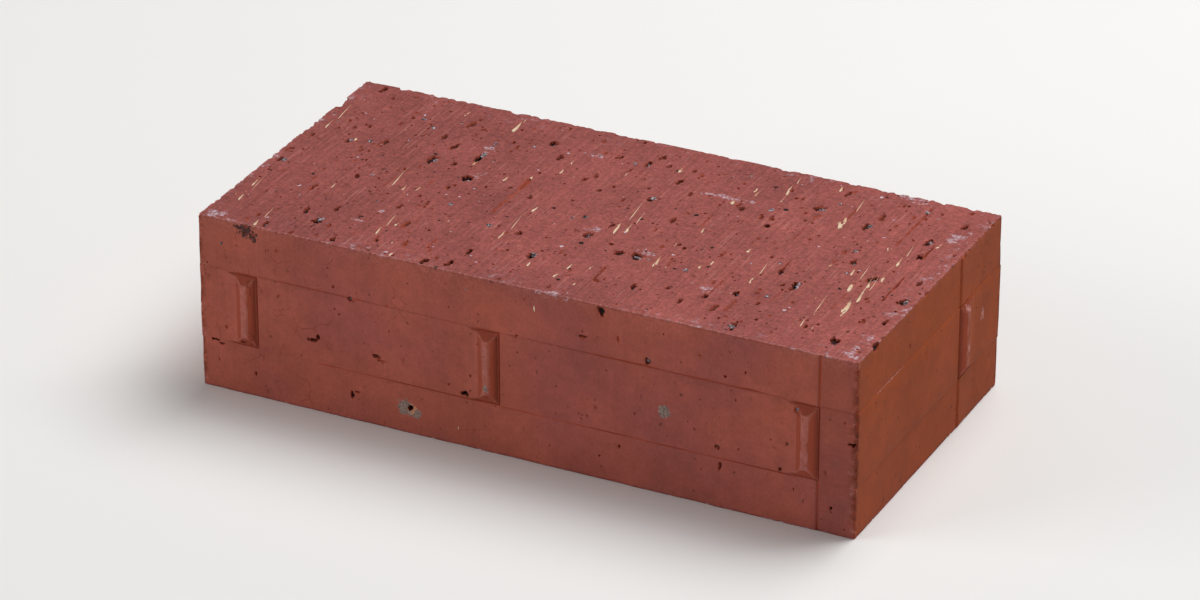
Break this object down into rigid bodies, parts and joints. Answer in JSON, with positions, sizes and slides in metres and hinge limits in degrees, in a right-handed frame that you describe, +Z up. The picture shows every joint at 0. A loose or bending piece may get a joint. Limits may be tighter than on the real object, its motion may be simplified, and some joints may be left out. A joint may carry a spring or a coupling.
{
  "type": "clay paver",
  "caption": "Rectangular fired clay paver with wire-cut flat faces, sharp arrises and small hipped spacer lugs pressed on its sides to keep the joints open.",
  "frame": {"origin": "middle of the bed face, the flat face that the paver lies on", "axes": "+X along the length, +Y across the width towards the hidden long face, +Z up out of the wear face"},
  "size_m": [0.206, 0.103, 0.054],
  "materials": {
    "fired_clay": "unglazed fired red clay, wire-cut and matt"
  },
  "bodies": {
    "root": {"paver": "fired_clay"}
  },
  "joints": []
}
